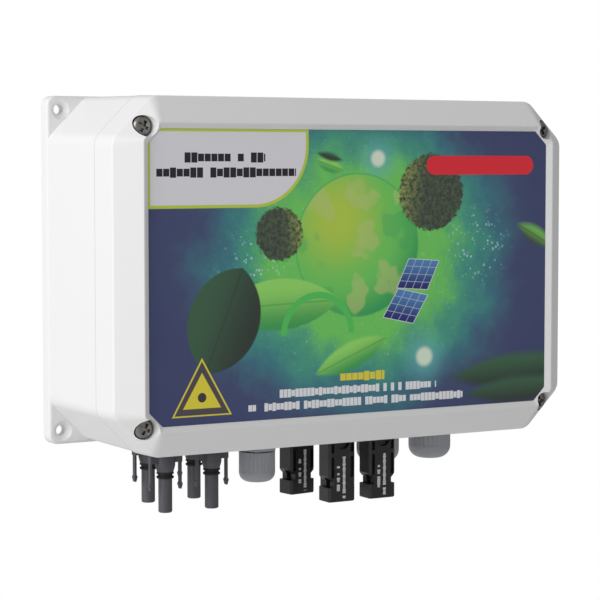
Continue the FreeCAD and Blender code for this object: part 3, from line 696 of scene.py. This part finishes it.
for i, (cx, cy, shift) in enumerate(PLUGS, 1):
    wear("plug_connector_%d" % i, plug_plastic(i, cx, cy, shift))
print("plug finishes:", len(PLUGS))

# %% [markdown]
# ## Circuit board
# A board is glass laminate with copper tracks under green varnish. The tracks stand a few hundredths of a
# millimetre proud, so they are a lighter green and a step in the bump. Bare tinned pads lie under the
# clips and terminals, and white outlines are screen printed round each fuse.

# %% Board finish
FUSE_XS = (-86.0, -68.0, -50.0, -32.0, -8.0, 10.0, 28.0, 46.0)
FIXINGS = ((-95.5, 8.5), (-95.5, 71.0), (95.5, 8.5), (95.5, 71.0))


def union(distances):
    joined = distances[0]
    for distance in distances[1:]:
        joined = joined.low(distance)
    return joined


def board_laminate():
    material, spot = start("board_laminate")
    x, y, z = axes(spot)
    tracks = union([box(x, z, cx, 9.5, 5.0, 13.0, 1.5) for cx in FUSE_XS]
                   + [box(x, z, -59.0, 59.0, 34.0, 7.0, 1.5), box(x, z, 19.0, 59.0, 34.0, 7.0, 1.5),
                      box(x, z, 79.5, 30.0, 15.0, 34.0, 2.0)])
    pads = union([box(x, z, cx, 20.5, 6.2, 5.6, 0.6) for cx in FUSE_XS]
                 + [box(x, z, cx, 51.5, 6.2, 5.6, 0.6) for cx in FUSE_XS]
                 + [disc(x, z, cx, cz, 4.4) for cx, cz in FIXINGS])
    outline = union([abs(box(x, z, cx, 36.0, 7.6, 22.0, 1.0)) - 0.2 for cx in FUSE_XS])
    weave = noise(spot, 0.8, 2.0)
    cloud = noise(spot, 25.0, 3.0)
    front = y < -13.0
    track = inside(tracks, 0.2) * front
    pad = inside(pads, 0.15) * front
    silk = inside(outline, 0.12) * front
    paint = mix(weave * 0.6 + cloud * 0.4, rgb(0.006, 0.085, 0.030), rgb(0.012, 0.130, 0.045))
    paint = mix(track, paint, rgb(0.020, 0.220, 0.070))
    paint = mix(silk, paint, rgb(0.80, 0.82, 0.80))
    paint = mix(pad, paint, rgb(0.66, 0.65, 0.62))
    rough = 0.24 + (weave - 0.5) * 0.08 + silk * 0.3 + pad * 0.08
    return finish(material, paint, rough, pad, track * 0.05 + weave * 0.006 + silk * 0.02)


wear("circuit_board", board_laminate())
print("fuse positions on the board:", len(FUSE_XS))

# %% [markdown]
# ## Fuses, varistors and leads
# Each fuse is one solid, so its finish changes with height: white glazed ceramic in the middle, nickel
# plate on both caps, and a coloured rating band. Varistors are dipped in blue epoxy. The leads inside are
# ordinary cable, whose sheath is satin and faintly ribbed by its strands.

# %% Fuse, varistor and lead finishes
def fuse_ceramic():
    material, spot = start("fuse_ceramic")
    _, _, z = axes(spot)
    speck = noise(spot, 0.7, 3.0)
    scuff = noise(spot, 3.0, 4.0, 0.65)
    cap = (abs(z - 36.0)).ramp(8.95, 9.05)
    band = inside(abs(z - 39.5) - 1.1, 0.15)
    paint = mix(speck * 0.25, rgb(0.78, 0.76, 0.70), rgb(0.60, 0.57, 0.50))
    paint = mix(band, paint, rgb(0.10, 0.22, 0.55))
    paint = mix(cap, paint, mix(scuff, rgb(0.50, 0.48, 0.45), rgb(0.74, 0.72, 0.68)))
    rough = 0.22 + scuff * 0.14 + cap * 0.06
    return finish(material, paint, rough, cap, speck * 0.008)


def dipped_epoxy():
    material, spot = start("varistor_coating")
    pool = noise(spot, 3.0, 2.0)
    speck = noise(spot, 0.3, 2.0)
    paint = mix(pool * 0.7 + speck * 0.3, rgb(0.010, 0.080, 0.300), rgb(0.025, 0.150, 0.480))
    return finish(material, paint, 0.28 + (pool - 0.5) * 0.15, height=pool * 0.10 + speck * 0.004)


def cable_sheath(name, colour):
    material, spot = start(name)
    strands = noise(spot, 1.4, 2.0)
    # On the sheath this noise is only a random dusty tone. No shade is painted here.
    dust_and_painted_shade = noise(spot, 6.0, 4.0, 0.6)
    dull = rgb(*(c * 0.6 + 0.004 for c in colour))
    paint = mix(dust_and_painted_shade.ramp(0.3, 0.75), dull, rgb(*colour))
    return finish(material, paint, 0.42 + (dust_and_painted_shade - 0.5) * 0.2, height=strands * 0.02)


fuse_finish = fuse_ceramic()
for i in range(1, 9):
    wear("string_fuse_%d" % i, fuse_finish)
wear("varistors", dipped_epoxy())
wear("string_leads_pos", cable_sheath("red_insulation", (0.46, 0.016, 0.014)))
wear("string_leads_neg", cable_sheath("black_insulation", (0.020, 0.020, 0.022)))
print("fuses:", 8)

# %% [markdown]
# ## Cover screws
# Each cover screw is a pan head turned and pressed from one blank: a domed head, a cross recess driven in
# while the steel is cold, and a coarse thread rolled on the shank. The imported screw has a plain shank, so
# this piece replaces it. The head is a stack of bridged rings. The recess is a cross-shaped loop, bridged
# to the innermost ring and pushed in with a taper. The thread is a small triangle spun up a helix.

# %% Screw builder
SCREWS = [(-119.8, 74.2), (119.8, 74.2), (119.8, -74.2), (-119.8, -74.2)]
UNDER_HEAD = 88.2
HEAD_PROFILE = [(2.1, 0.0), (4.65, 0.0), (4.8, 0.15), (4.8, 1.4), (4.55, 2.2), (3.95, 2.85), (3.2, 3.15)]
CROSS = (3.0, 0.85)
CROSS_TOP = 3.2
CROSS_FOOT = 1.5
CROSS_TAPER = 0.72
CORE_R = 2.1
CREST_R = 2.48
SHANK_LONG = 38.0
POINT_LONG = 2.0
PITCH = 2.0
PLAIN_LONG = 7.0
THREAD_START = 3.0
THREAD_HALF = 0.55
THREAD_STEPS = 24
SHARP_ANGLE = 0.7


def ring(bm, radius, depth, segments=48):
    """Closed ring of edges facing the front, at a distance in front of the head's seat."""
    verts = []
    for i in range(segments):
        angle = 2.0 * math.pi * i / segments
        verts.append(bm.verts.new((radius * math.cos(angle), -depth, radius * math.sin(angle))))
    return [bm.edges.new((verts[i - 1], verts[i])) for i in range(segments)]


def cross_loop(bm, depth, scale=1.0):
    """Closed outline of a cross, its arms along X and Z."""
    a, b = CROSS[0] * scale, CROSS[1] * scale
    points = [(a, b), (b, b), (b, a), (-b, a), (-b, b), (-a, b),
              (-a, -b), (-b, -b), (-b, -a), (b, -a), (b, -b), (a, -b)]
    verts = [bm.verts.new((px, -depth, pz)) for px, pz in points]
    return [bm.edges.new((verts[i - 1], verts[i])) for i in range(len(verts))]


def add_head(bm):
    rings = [ring(bm, radius, depth) for radius, depth in HEAD_PROFILE]
    for near, far in zip(rings, rings[1:]):
        bmesh.ops.bridge_loops(bm, edges=near + far)
    mouth = cross_loop(bm, CROSS_TOP)
    bmesh.ops.triangle_fill(bm, edges=rings[-1] + mouth, use_beauty=True)
    foot = cross_loop(bm, CROSS_FOOT, CROSS_TAPER)
    bmesh.ops.bridge_loops(bm, edges=mouth + foot)
    bmesh.ops.triangle_fill(bm, edges=foot, use_beauty=True)


def add_shank(bm):
    rings = [ring(bm, radius, depth, THREAD_STEPS) for radius, depth in
             [(CORE_R, 0.0), (CORE_R, POINT_LONG - SHANK_LONG), (CORE_R * 0.45, -SHANK_LONG)]]
    for near, far in zip(rings, rings[1:]):
        bmesh.ops.bridge_loops(bm, edges=near + far)
    bmesh.ops.contextual_create(bm, geom=rings[-1])
    turns = int((SHANK_LONG - PLAIN_LONG) / PITCH)
    root = CORE_R - 0.08
    points = [(root, THREAD_HALF), (CREST_R, 0.0), (root, -THREAD_HALF)]
    verts = [bm.verts.new((radius, THREAD_START + rise, 0.0)) for radius, rise in points]
    edges = [bm.edges.new((verts[i], verts[i + 1])) for i in range(2)]
    bmesh.ops.spin(bm, geom=verts + edges, cent=(0, 0, 0), axis=(0, 1, 0), angle=2.0 * math.pi * turns,
                   steps=THREAD_STEPS * turns, dvec=(0, PITCH / THREAD_STEPS, 0))


def cover_screw(number, x, z):
    bm = bmesh.new()
    add_head(bm)
    add_shank(bm)
    bmesh.ops.recalc_face_normals(bm, faces=bm.faces)
    for face in bm.faces:
        face.smooth = True
    sharp = [e for e in bm.edges if len(e.link_faces) == 2 and e.calc_face_angle() > SHARP_ANGLE]
    for edge in sharp:
        edge.smooth = False
    bmesh.ops.rotate(bm, verts=bm.verts, cent=(0, 0, 0), matrix=Matrix.Rotation(0.5 * number, 3, "Y"))
    bmesh.ops.translate(bm, verts=bm.verts, vec=(x, -UNDER_HEAD, z))
    bmesh.ops.scale(bm, verts=bm.verts, vec=(MM, MM, MM))
    mesh = bpy.data.meshes.new("threaded_screw_%d" % number)
    bm.to_mesh(mesh)
    bm.free()
    mesh.materials.append(screw_steel)
    screw = bpy.data.objects.new(mesh.name, mesh)
    bpy.context.scene.collection.objects.link(screw)
    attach(screw, "cover_screw_%d" % number)
    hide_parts("cover_screw_%d" % number)
    return screw


screws = [cover_screw(i, x, z) for i, (x, z) in enumerate(SCREWS, 1)]
print("screws:", len(screws), "faces in one:", len(screws[0].data.polygons))
